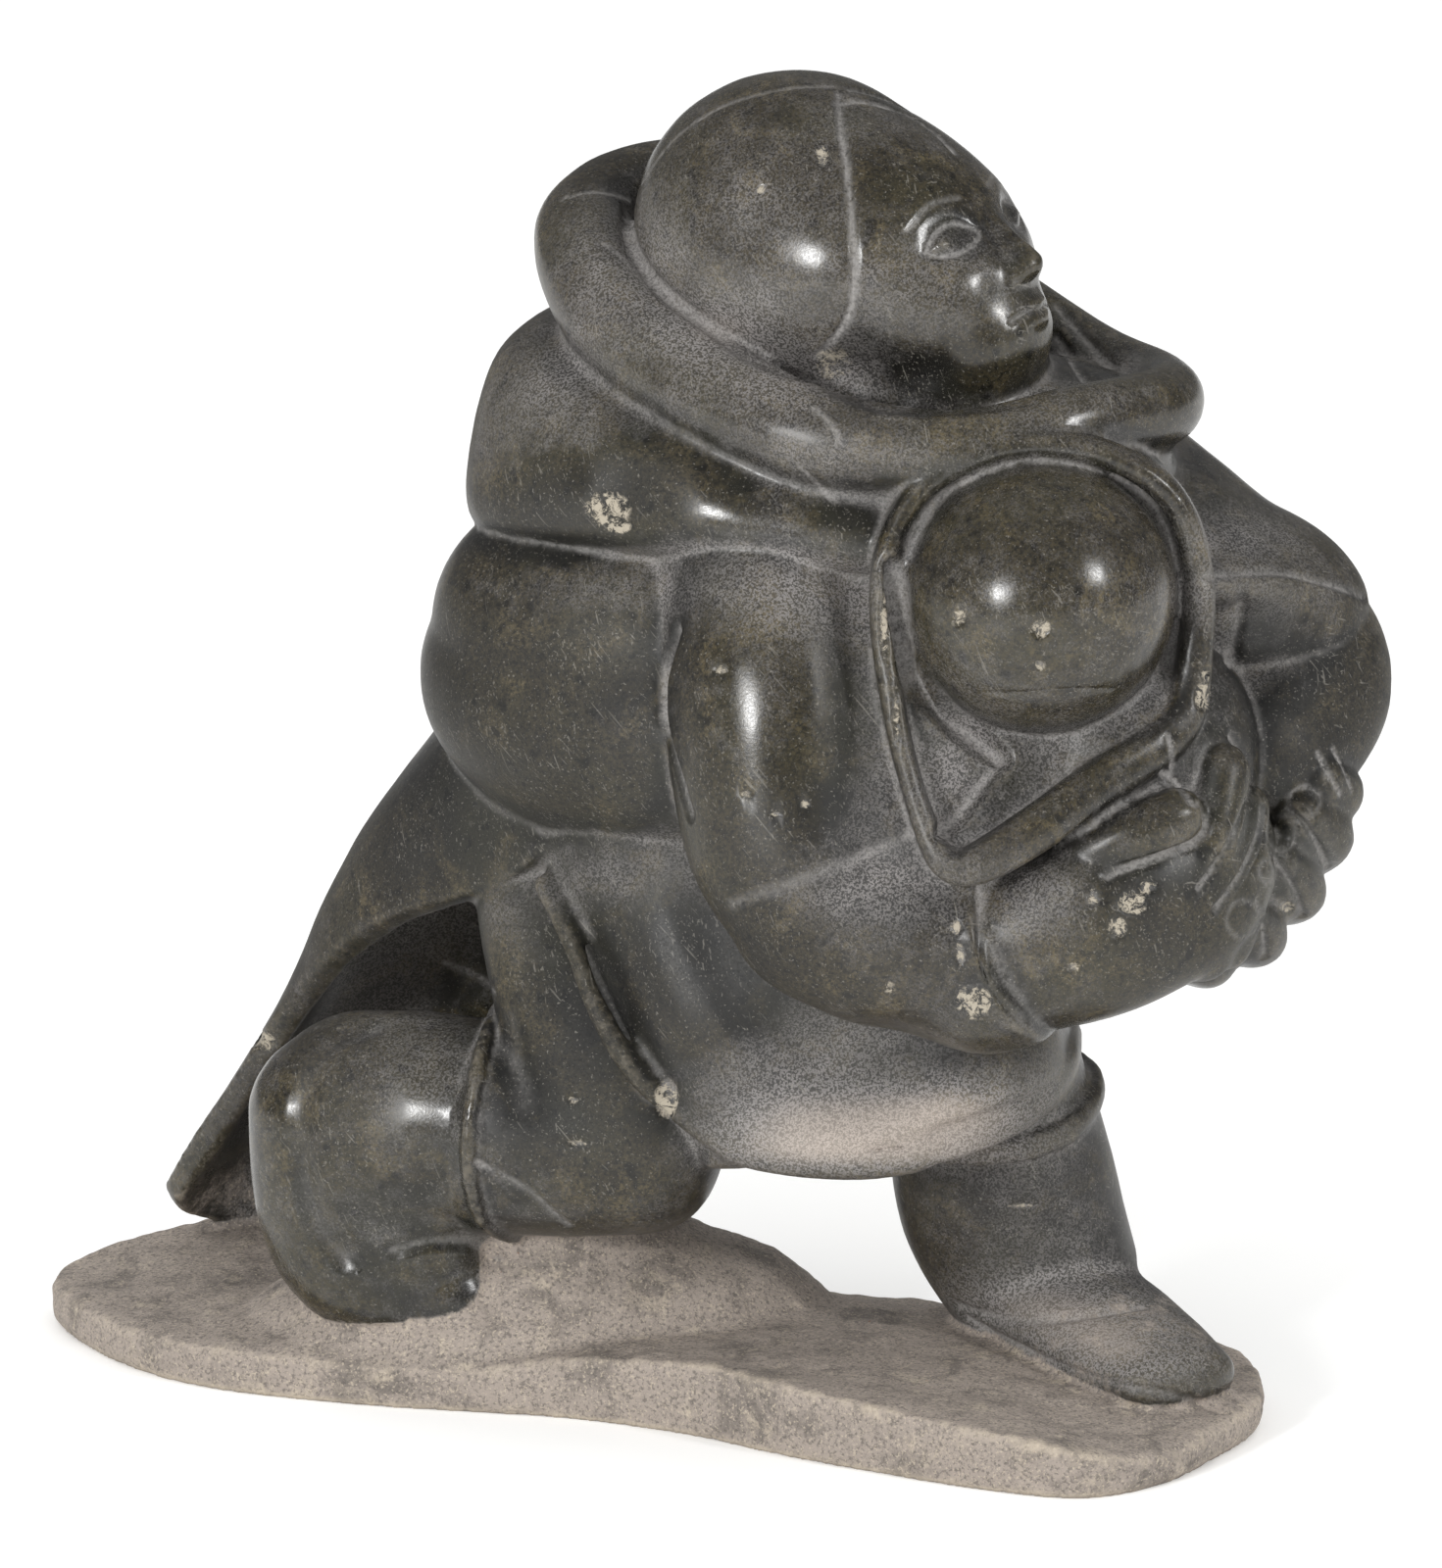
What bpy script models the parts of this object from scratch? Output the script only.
"""A kneeling mother with a child in her arms, carved with its base from one block of soapstone.

Run it with: blender --background --python part.py, or from Blender's text editor.

Frame: metres, +Z up. The origin is at the middle of the underside. The side that the carving
is looked at from faces -Y, the mother looks towards +X and a little towards -Y.
"""

import math

import bmesh
import bpy
from mathutils import Matrix, Vector

# Driving sizes, in metres
FIGURE_HEIGHT = 0.273  # underside of the base to the crown of the mother's head
BASE_THICKNESS = 0.012  # the slab that the figure kneels on, at its middle
GRAIN = 0.0016  # side of the voxels that fuse the forms into one stone
FACES_WANTED = 9400  # triangles that the finished solid keeps

UNIT = FIGURE_HEIGHT / 273  # the figure's tables are in units, one millimetre at this height
STONE_COLOUR = (0.105, 0.108, 0.098, 1.0)
STONE_ROUGHNESS = 0.38

SIDES = 28  # points around a lofted form
STEPS = 6  # rings between two stations of a loft
CAP_RINGS = 5  # rings in a rounded end


def clear_scene():
    for obj in list(bpy.data.objects):
        bpy.data.objects.remove(obj, do_unlink=True)


def spline(stations, steps=STEPS, closed=False):
    """Points of a smooth curve through the stations, which may hold radii after their place."""
    count = len(stations)
    spans = count if closed else count - 1

    def station(i):
        if closed:
            return stations[i % count]
        return stations[min(max(i, 0), count - 1)]

    points = []
    for i in range(spans):
        before, start, end, after = (station(i + k) for k in (-1, 0, 1, 2))
        for step in range(steps):
            t = step / steps
            weights = (
                -0.5 * t + t * t - 0.5 * t**3,
                1 - 2.5 * t * t + 1.5 * t**3,
                0.5 * t + 2 * t * t - 1.5 * t**3,
                -0.5 * t * t + 0.5 * t**3,
            )
            points.append(
                [sum(w * p[k] for w, p in zip(weights, (before, start, end, after)))
                 for k in range(len(start))]
            )
    if not closed:
        points.append(list(stations[-1]))
    return points


def add_mesh(vertices, faces):
    """A bare mesh object, in metres, from vertices in units."""
    mesh = bpy.data.meshes.new("form")
    mesh.from_pydata([Vector(v) * UNIT for v in vertices], [], faces)
    work = bmesh.new()
    work.from_mesh(mesh)
    bmesh.ops.recalc_face_normals(work, faces=work.faces)
    work.to_mesh(mesh)
    work.free()
    return mesh


def ring(centre, across, up, wide, high):
    turns = (2 * math.pi * k / SIDES for k in range(SIDES))
    return [centre + across * (wide * math.cos(a)) + up * (high * math.sin(a)) for a in turns]


def bridge(count, rings, closed):
    faces = []
    for r in range(rings if closed else rings - 1):
        here, there = r * count, (r + 1) % rings * count
        for k in range(count):
            faces.append((here + k, here + (k + 1) % count, there + (k + 1) % count, there + k))
    return faces


def loft(stations, across=(0, 1, 0), caps=(1.0, 1.0), closed=False):
    """A limb or band through stations (x, y, z, half width along across, half width at right angles).

    caps says how far each rounded end stands out, as a share of the end's smaller half width.
    """
    path = spline(stations, closed=closed)
    places = [Vector(p[:3]) for p in path]
    rings = []
    for i, place in enumerate(places):
        if closed:
            along = places[(i + 1) % len(places)] - places[i - 1]
        else:
            along = places[min(i + 1, len(places) - 1)] - places[max(i - 1, 0)]
        along.normalize()
        side = (Vector(across) - along * along.dot(Vector(across))).normalized()
        rings.append((place, along, side, along.cross(side), path[i][3], path[i][4]))
    if not closed:
        rings = end_rings(rings[0], -1, caps[0])[::-1] + rings + end_rings(rings[-1], 1, caps[1])
    vertices = []
    for place, _, side, up, wide, high in rings:
        vertices += ring(place, side, up, wide, high)
    faces = bridge(SIDES, len(rings), closed)
    if not closed:
        last = (len(rings) - 1) * SIDES
        faces.append(tuple(range(SIDES)))
        faces.append(tuple(range(last, last + SIDES)))
    return add_mesh(vertices, faces)


def end_rings(end, way, cap):
    """Rings that round off an end; way is 1 at the last ring and -1 at the first."""
    place, along, side, up, wide, high = end
    reach = cap * min(wide, high)
    made = []
    for k in range(1, CAP_RINGS + 1):
        turn = math.radians(88) * k / CAP_RINGS
        made.append((place + along * (way * reach * math.sin(turn)), along, side, up,
                     wide * math.cos(turn), high * math.cos(turn)))
    return made


def egg(centre, radii, turn=(0, 0, 0)):
    """An ellipsoid turned by three angles in degrees, about X, then Y, then Z."""
    work = bmesh.new()
    bmesh.ops.create_uvsphere(work, u_segments=32, v_segments=20, radius=1)
    spin = Matrix.Rotation(math.radians(turn[2]), 4, "Z")
    spin @= Matrix.Rotation(math.radians(turn[1]), 4, "Y")
    spin @= Matrix.Rotation(math.radians(turn[0]), 4, "X")
    shape = Matrix.Translation(Vector(centre)) @ spin @ Matrix.Diagonal((*radii, 1))
    bmesh.ops.transform(work, matrix=Matrix.Scale(UNIT, 4) @ shape, verts=work.verts)
    mesh = bpy.data.meshes.new("form")
    work.to_mesh(mesh)
    work.free()
    return mesh


def stack(levels):
    """A body of level rings (x, y, z, half width, half depth, rise at +X, rise at +Y), top first."""
    rings = spline(levels)
    vertices = []
    for x, y, z, wide, deep, rise_x, rise_y in rings:
        for k in range(SIDES):
            turn = 2 * math.pi * k / SIDES
            c, s = math.cos(turn), math.sin(turn)
            vertices.append((x + wide * c, y + deep * s, z + rise_x * c + rise_y * s))
    faces = bridge(SIDES, len(rings), False)
    last = (len(rings) - 1) * SIDES
    faces.append(tuple(range(SIDES)))
    faces.append(tuple(range(last, last + SIDES)))
    return add_mesh(vertices, faces)


def panel(loop, back, dip):
    """A solid behind a loop of points, from dip units behind the loop to the depth back in Y."""
    outline = spline([p[:3] for p in loop], closed=True)
    count = len(outline)
    middle = sum((Vector(p) for p in outline), Vector()) / count
    vertices = []
    for share in (0.0, 1.0):
        for x, y, z in outline:
            vertices.append((x, (y + dip) * (1 - share) + back * share, z))
    vertices += [(middle.x, middle.y + dip, middle.z), (middle.x, back, middle.z)]
    faces = bridge(count, 2, False)
    for k in range(count):
        after = (k + 1) % count
        faces.append((2 * count, after, k))
        faces.append((2 * count + 1, count + k, count + after))
    return add_mesh(vertices, faces)


def sheet(rows, thick):
    """A curved flap through rows of points, given the thickness that cloth has in this carving."""
    rows = [spline(row) for row in rows]
    columns = [spline(column) for column in zip(*rows)]
    tall, wide = len(columns[0]), len(columns)
    places = [[Vector(columns[c][r]) for c in range(wide)] for r in range(tall)]
    fronts, backs = [], []
    for r in range(tall):
        for c in range(wide):
            down = places[min(r + 1, tall - 1)][c] - places[max(r - 1, 0)][c]
            over = places[r][min(c + 1, wide - 1)] - places[r][max(c - 1, 0)]
            out = down.cross(over).normalized() * (thick / 2)
            fronts.append(places[r][c] + out)
            backs.append(places[r][c] - out)
    size = tall * wide
    faces = []
    for r in range(tall - 1):
        for c in range(wide - 1):
            a, b = r * wide + c, r * wide + c + 1
            quad = (a, b, b + wide, a + wide)
            faces.append(quad)
            faces.append(tuple(size + k for k in reversed(quad)))
    edge = [c for c in range(wide)]
    edge += [r * wide + wide - 1 for r in range(1, tall)]
    edge += [(tall - 1) * wide + c for c in range(wide - 2, -1, -1)]
    edge += [r * wide for r in range(tall - 2, 0, -1)]
    for a, b in zip(edge, edge[1:] + edge[:1]):
        faces.append((b, a, size + a, size + b))
    return add_mesh(fronts + backs, faces)


def slab():
    """The base: an uneven slab, flat below, whose rim heights follow the rough block."""
    rim = [  # x, y, height of the top edge as a share of the thickness
        (-138, 45, 0.80), (-134.5, 27, 0.78), (-122, 5, 0.75), (-104, -11, 0.78),
        (-74, -22.5, 0.74), (-50, -28, 0.80), (-30, -33, 1.10), (-7, -44.5, 1.30),
        (13, -60, 1.30), (33, -73, 1.20), (54, -85, 1.08), (74, -91, 0.85), (90, -81, 0.64),
        (101, -63, 0.65), (110.5, -40, 0.75), (106, -10, 0.8), (80, 6, 0.9),
        (48, 14, 1.02), (22, 24, 1.0), (13, 33, 1.2), (0, 39, 1.27), (-30, 45, 1.45),
        (-66, 58, 1.45), (-102, 68, 1.3), (-127, 58, 1.05),
    ]
    outline = spline(rim, steps=4, closed=True)
    middle = Vector((-14, -8))
    thick = BASE_THICKNESS / UNIT
    crown = 1.25 * thick
    profile = ((0.985, 0.0, 0), (1.0, 0.2, 0), (1.0, 0.84, 0), (0.982, 1.0, 0),
               (0.88, 1.0, 0.2), (0.7, 1.0, 0.6), (0.45, 1.0, 0.9), (0.2, 1.0, 1.0))
    vertices = []
    for share, lift, level in profile:
        for x, y, edge in outline:
            flat = middle + (Vector((x, y)) - middle) * share
            height = lift * (edge * thick * (1 - level) + crown * level)
            vertices.append((flat.x, flat.y, height))
    count, rings = len(outline), len(profile)
    faces = bridge(count, rings, False)
    faces.append(tuple(range(count)))
    faces.append(tuple(range((rings - 1) * count, rings * count)))
    return add_mesh(vertices, faces)


def kneeling_leg():
    trousers = [
        # thigh, from the hip to the knee
        loft([(-36, 4, 114, 17, 16), (-31, -9, 92, 17, 17), (-25, -17, 72, 17, 17.5),
              (-18, -21, 57, 17, 18)]),
        # shin, from the knee back to the boot's cuff
        loft([(-15, -21, 55, 17.5, 18.5), (-33, -17, 56, 19, 21), (-48, -12, 57, 21, 23)],
             caps=(0.9, 0.12)),
    ]
    cuff = [
        # rolled edge of the trouser leg, over the boot
        loft([(-46, -12, 80.5, 2.2, 2.6), (-49.5, -28, 73.5, 2.2, 2.6),
              (-51.5, -33.5, 57, 2.2, 2.6), (-49.5, -28, 40.5, 2.2, 2.6),
              (-45, -12, 33.5, 2.2, 2.6), (-46, 4, 40.5, 2.2, 2.6), (-47, 9.5, 57, 2.2, 2.6),
              (-46, 4, 73.5, 2.2, 2.6)], across=(1, 0, 0), closed=True),
    ]
    boot = [
        # calf and heel, then the foot that stands on its toes
        loft([(-44, -12, 56.5, 20, 21.5), (-58, -8, 56.5, 21.5, 22.5), (-73, -4, 55, 22, 23.5)],
             caps=(0.2, 1.0)),
        loft([(-74, -4, 56, 20, 23), (-76, -4, 40, 18, 20), (-74, -5, 29, 16, 17),
              (-67, -6, 23, 15, 14), (-58, -8, 20, 13, 11)]),
        egg((-64, -8, 36), (19, 15, 20)),
    ]
    return [(trousers, 8), (boot, 8), (cuff, 1)]


def standing_leg():
    trousers = [
        # thigh under the apron, to the knee
        loft([(8, 26, 90, 20, 20), (28, 14, 82, 20, 20), (42, 0, 74, 20, 20)]),
        # lower end of the trouser leg
        loft([(46, -4, 82, 19, 20), (51, -6, 68, 22, 22), (55, -6, 58, 21.5, 22)],
             across=(1, 0, 0), caps=(0.6, 0.1)),
    ]
    cuff = [
        loft([(77, -6, 63, 3, 1.8), (70.5, -22, 58, 3, 1.8), (55, -28.5, 55.5, 3, 1.8),
              (39.5, -22, 55.5, 3, 1.8), (33.5, -6, 57.5, 3, 1.8), (39.5, 10, 61, 3, 1.8),
              (55, 16.5, 63.5, 3, 1.8), (70.5, 10, 65, 3, 1.8)],
             across=(0, 0, 1), closed=True),
    ]
    boot = [
        loft([(55, -6, 62, 21, 20), (57.5, -6, 46, 22.8, 20.5), (61, -6, 34, 22.3, 20),
              (67, -7, 21, 19.8, 18.5)], across=(1, 0, 0), caps=(0.3, 0.6)),
        loft([(62, -2, 19, 15, 9), (71, -15, 19, 18, 11), (83, -34, 16, 17.5, 8.5),
              (93, -49, 13.5, 14, 6.5)], across=(0.8, 0.6, 0)),
    ]
    return [(trousers, 3), (boot, 4), (cuff, 1)]


def parka():
    trunk = [
        stack([(26, 4, 200, 50, 34, 0, 0), (13, 6, 180, 56, 44, 0, 0), (5, 6, 150, 47, 44, 0, 0),
               (-8, 6, 132, 46, 40, 0, 0), (-8, 8, 118, 40, 38, 0, 0), (0, 8, 102, 32, 32, 0, 0)]),
    ]
    pouch = [egg((-11, -1, 145), (51.5, 44, 34), (0, 8, -14))]
    skirt = [
        # apron over the lap
        loft([(0, -2, 126, 40, 34), (4, -4, 114, 40, 34), (16, -8, 94, 42, 40),
              (28, -10, 75, 43, 39), (32, -10, 62, 41, 36)], across=(1, 0, 0), caps=(0.3, 0.08)),
        # tail down to the base
        sheet([
            [(-34, -22, 118), (-47, 0, 140), (-44, 26, 142), (-20, 42, 136), (6, 42, 126)],
            [(-45, -13, 107), (-65, 12, 114), (-62, 38, 114), (-37, 54, 106), (-12, 55, 98)],
            [(-69, 8, 93), (-78, 26, 92), (-74, 48, 91), (-53, 60, 82), (-34, 60, 74)],
            [(-85, 25, 74), (-87.5, 37, 70), (-82.5, 53, 68), (-66, 62, 62), (-50, 62, 55)],
            [(-101, 38, 47), (-100, 48, 44), (-94, 60, 42), (-82, 66, 38), (-66, 66, 34)],
            [(-114, 50, 25), (-112, 56, 20), (-104, 62, 16), (-92, 64, 14), (-80, 64, 12)],
        ], 6),
        # raised rim of the apron
        loft([(-36, -24, 111, 2.4, 2.4), (-30, -31, 100, 2.4, 2.4), (-26, -36, 90, 2.4, 2.4),
              (-18, -38, 76, 2.4, 2.4), (-8, -39, 67, 2.6, 2.6), (4, -44, 60.5, 2.6, 2.6),
              (17, -48, 58.7, 2.6, 2.6), (30, -49, 58.8, 2.6, 2.6), (45, -45, 60.6, 2.6, 2.6),
              (57, -37, 62.8, 2.6, 2.6), (65, -29, 66, 2.6, 2.6), (70, -20, 69, 2.6, 2.6),
              (71, -10, 72, 2.4, 2.4)]),
    ]
    return [(trunk, 8), (pouch, 2), (skirt, 3)]


def cape_and_hood():
    edge = [  # middle of the hood's rolled rim, half height, half width
        (-27, 10, 235, 10.5, 11), (-22, -6, 227, 11, 11), (-10, -19, 218.5, 11, 12),
        (8, -33, 211.5, 10.5, 11), (25, -41, 208, 9.5, 10), (48, -43, 207.5, 8, 8),
        (73, -34, 210.5, 8, 7), (89, -15, 209, 8.5, 8), (88, 4, 208, 8, 8),
        (76, 20, 210, 7.5, 8), (62, 34, 216, 7.5, 8), (38, 45, 228, 8, 9),
        (8, 46, 240, 9, 10), (-14, 37, 242, 9.5, 10), (-26, 24, 239, 10, 10),
    ]
    cape = [
        stack([(30, 3, 205, 50, 34, -12, 8), (28.5, 3, 208, 61.5, 42, -13, 9),
               (28, 3, 202, 74.5, 48, -12, 5), (35.5, 2, 183, 87.5, 53, -9, -7),
               (40, 2, 172, 90.5, 52, -8, -12), (40, 3, 166, 80, 44, -8, -12)]),
        # far shoulder, then the filled hollow of the hood, under the chin
        egg((101, 2, 166.5), (32, 30, 19), (0, 12, 0)),
        egg((52, -7, 206), (37, 29, 11)),
        loft([(28 + 0.93 * (x - 28), 0.93 * y, z - 12, 14, 6) for x, y, z, _, _ in edge],
             across=(0, 0, 1), closed=True),
    ]
    rim = [loft(edge, across=(0, 0, 1), closed=True)]
    return [([melt(cape, 10)] + rim, 4)]


def head():
    skull = [
        egg((15.4, 4, 240.5), (33.6, 33, 33.6)),
        loft([(14, 5, 240, 31, 32), (27, -3, 238.5, 30, 30.5), (40, -10, 234, 27, 26.5),
              (48, -16, 228.5, 22, 21), (53, -19, 223.5, 16, 16)],
             across=(0.5, 0.87, 0), caps=(1.0, 0.8)),
        # neck, then the collar under the jaw
        loft([(24, 2, 222, 24, 26), (28, 0, 200, 28, 30)], across=(1, 0, 0)),
        loft([(44, -10, 222, 22, 22), (45, -8, 200, 24, 26)], across=(1, 0, 0)),
    ]
    face = [
        # nose, then lips
        loft([(55, -19.5, 252, 2.4, 2), (59, -21.8, 247.5, 2.6, 2.4), (63, -24, 242.5, 3.4, 3)],
             across=(0.5, 0.87, 0)),
        egg((63.8, -24.5, 233), (2.4, 6, 2.6), (0, 30, -30)),
    ]
    return [(skull, 12), (face, 1)]


def near_arm():
    sleeve = [
        loft([(7, -21, 182, 22, 23), (11, -40, 157, 23, 24), (14, -50, 130, 22, 21),
              (20, -54, 116, 19.5, 19)], across=(1, 0, 0), caps=(0.5, 1.0)),
        loft([(20, -54, 114, 19, 19), (42, -59.5, 109, 17, 19), (62, -62, 105, 17, 18.5)],
             caps=(1.0, 0.1)),
        # where the sleeve lies against the child
        loft([(31, -22, 182, 15, 15), (31, -42, 160, 14, 15), (33, -52, 134, 14, 14),
              (46, -57, 122, 14, 12)], across=(1, 0, 0)),
    ]
    hand = [
        # palm, then three fingers that point up
        loft([(58, -60, 106, 14.5, 17), (76, -60, 113, 13.5, 20), (91, -54, 121, 12, 21),
              (101, -46, 127, 10, 17)], caps=(0.5, 0.8)),
        loft([(88, -57, 106, 7, 7), (98, -56, 127, 7, 6.5), (101.5, -51, 142, 6, 6)]),
        loft([(97, -52, 105, 7, 7), (103.5, -50, 121, 6.5, 6.5), (105.5, -45, 133, 5.5, 6)]),
        loft([(102, -46, 105, 6.5, 6), (106, -43.5, 117, 6, 6), (107.5, -39, 126, 5, 5)]),
    ]
    thumb = [loft([(70, -61, 125, 6, 5.5), (78, -63, 129.5, 6.5, 6.5), (87, -63, 133.5, 6.5, 6.5),
                   (92, -61.5, 135.5, 6, 6)])]
    return [(sleeve, 10), (hand, 4), (thumb, 2)]


def far_arm():
    sleeve = [
        loft([(84, 30, 158, 22, 22), (106, 13, 154, 23, 22), (114, 0, 148, 22, 23),
              (109, -16, 138, 19, 20)]),
    ]
    hand = [
        # palm, then five fingers that reach round towards the near hand
        loft([(112, -5, 134, 12, 13), (109, -17, 120, 12, 14), (101, -29, 108, 13, 12),
              (92, -38, 102, 11, 8)]),
        loft([(121, -27, 134, 5.5, 5.5), (125, -16, 128, 6, 6), (119, -5, 122, 6, 6)]),
        loft([(117, -32, 127, 5.5, 6), (122.5, -21, 120, 6, 6.5), (115, -9, 112, 6, 6)]),
        loft([(111.5, -37, 119, 5.5, 6), (117, -26, 110, 6, 6.5), (109, -13, 105, 6, 6)]),
        loft([(105, -41, 109, 5.5, 6), (109, -32, 102, 6, 6.5), (102, -19, 99, 6, 6)]),
        loft([(97, -41, 101, 5.5, 6), (99, -35, 98, 6, 6), (94, -26, 97, 6, 6)]),
    ]
    return [(sleeve, 10), (hand, 3)]


def child():
    edge = [  # rim of the child's hood and coat, half depth, half width
        (46.3, -72, 128, 4.5, 3.4), (41, -68.5, 136, 4.5, 2.6), (35.5, -63, 155, 4.5, 2.4),
        (32.5, -57, 174, 4.5, 2.4), (33.5, -52, 188, 4.5, 2.6), (40, -48, 200, 4.5, 2.8),
        (52, -46, 207, 4.5, 2.8), (65, -45, 209, 4.5, 2.8), (79, -44, 206, 4.5, 2.8),
        (90.5, -43, 198, 4.5, 3), (96, -43, 184, 4.5, 3.2), (96, -46, 167, 4.5, 3.6),
        (92, -52, 152, 4.5, 4.6), (75, -62.5, 141.5, 4.5, 5), (56, -71, 130.3, 4.5, 4.6),
    ]
    coat = [
        panel(edge, -20, 4),
        egg((64, -32, 180), (35, 20, 30)),
        # side of the hood, towards the near arm
        loft([(40, -42, 196, 8, 8), (39, -49, 174, 8, 9), (42, -53, 154, 8, 8)],
             across=(1, 0, 0)),
        # body, held between the arms
        egg((78, -30, 140), (32, 30, 30)),
    ]
    face = [egg((64, -47, 177.6), (28, 28, 28))]
    rim = [loft(edge, across=(0, 1, 0), closed=True)]
    return [(coat, 4), (face, 0), (rim, 1)]


def melt(forms, passes, grain=GRAIN):
    """One closed skin around the forms; more passes make their meeting softer."""
    work = bmesh.new()
    for form in forms:
        work.from_mesh(form)
    mesh = bpy.data.meshes.new("melted")
    work.to_mesh(mesh)
    work.free()
    obj = bpy.data.objects.new("melted", mesh)
    bpy.context.scene.collection.objects.link(obj)
    skin = obj.modifiers.new("one_skin", "REMESH")
    skin.mode = "VOXEL"
    skin.voxel_size = grain
    if passes:
        soften = obj.modifiers.new("soften", "SMOOTH")
        soften.factor = 0.5
        soften.iterations = passes
    graph = bpy.context.evaluated_depsgraph_get()
    melted = bpy.data.meshes.new_from_object(obj.evaluated_get(graph))
    bpy.data.objects.remove(obj, do_unlink=True)
    return melted


def thinned(mesh):
    """Leaves FACES_WANTED triangles, centres them over the origin and lays the underside flat."""
    obj = bpy.data.objects.new("thinned", mesh)
    bpy.context.scene.collection.objects.link(obj)
    fewer = obj.modifiers.new("fewer", "DECIMATE")
    fewer.ratio = FACES_WANTED / (2 * len(mesh.polygons))
    fewer.use_collapse_triangulate = True
    graph = bpy.context.evaluated_depsgraph_get()
    made = bpy.data.meshes.new_from_object(obj.evaluated_get(graph))
    bpy.data.objects.remove(obj, do_unlink=True)
    middle = [(min(v.co[k] for v in made.vertices) + max(v.co[k] for v in made.vertices)) / 2
              for k in (0, 1)]
    for vertex in made.vertices:
        vertex.co.x -= middle[0]
        vertex.co.y -= middle[1]
        if vertex.co.z < GRAIN / 4:
            vertex.co.z = 0
    return made


def stone():
    material = bpy.data.materials.new("stone")
    material.use_nodes = True
    shader = material.node_tree.nodes["Principled BSDF"]
    shader.inputs["Base Color"].default_value = STONE_COLOUR
    shader.inputs["Roughness"].default_value = STONE_ROUGHNESS
    return material


def main():
    clear_scene()
    base = [
        slab(),
        # stone left under the shin
        stack([(-38, 2, 44, 14, 12, 0, 0), (-38, 2, 31, 19, 17, 0, 0),
               (-39, 6, 23, 28, 21, 0, 0), (-41, 8, 17, 38, 25, 0, 0),
               (-42, 8, 8, 44, 27, 0, 0)]),
    ]
    groups = [(base, 3)]
    for part in (kneeling_leg, standing_leg, parka, cape_and_hood, head, near_arm, far_arm,
                 child):
        groups += part()
    whole = melt([melt(forms, passes) for forms, passes in groups], 1)
    whole = thinned(whole)
    whole.name = "carving"
    whole.materials.clear()
    whole.materials.append(stone())
    carving = bpy.data.objects.new("carving", whole)
    bpy.context.scene.collection.objects.link(carving)


if __name__ == "__main__":
    main()
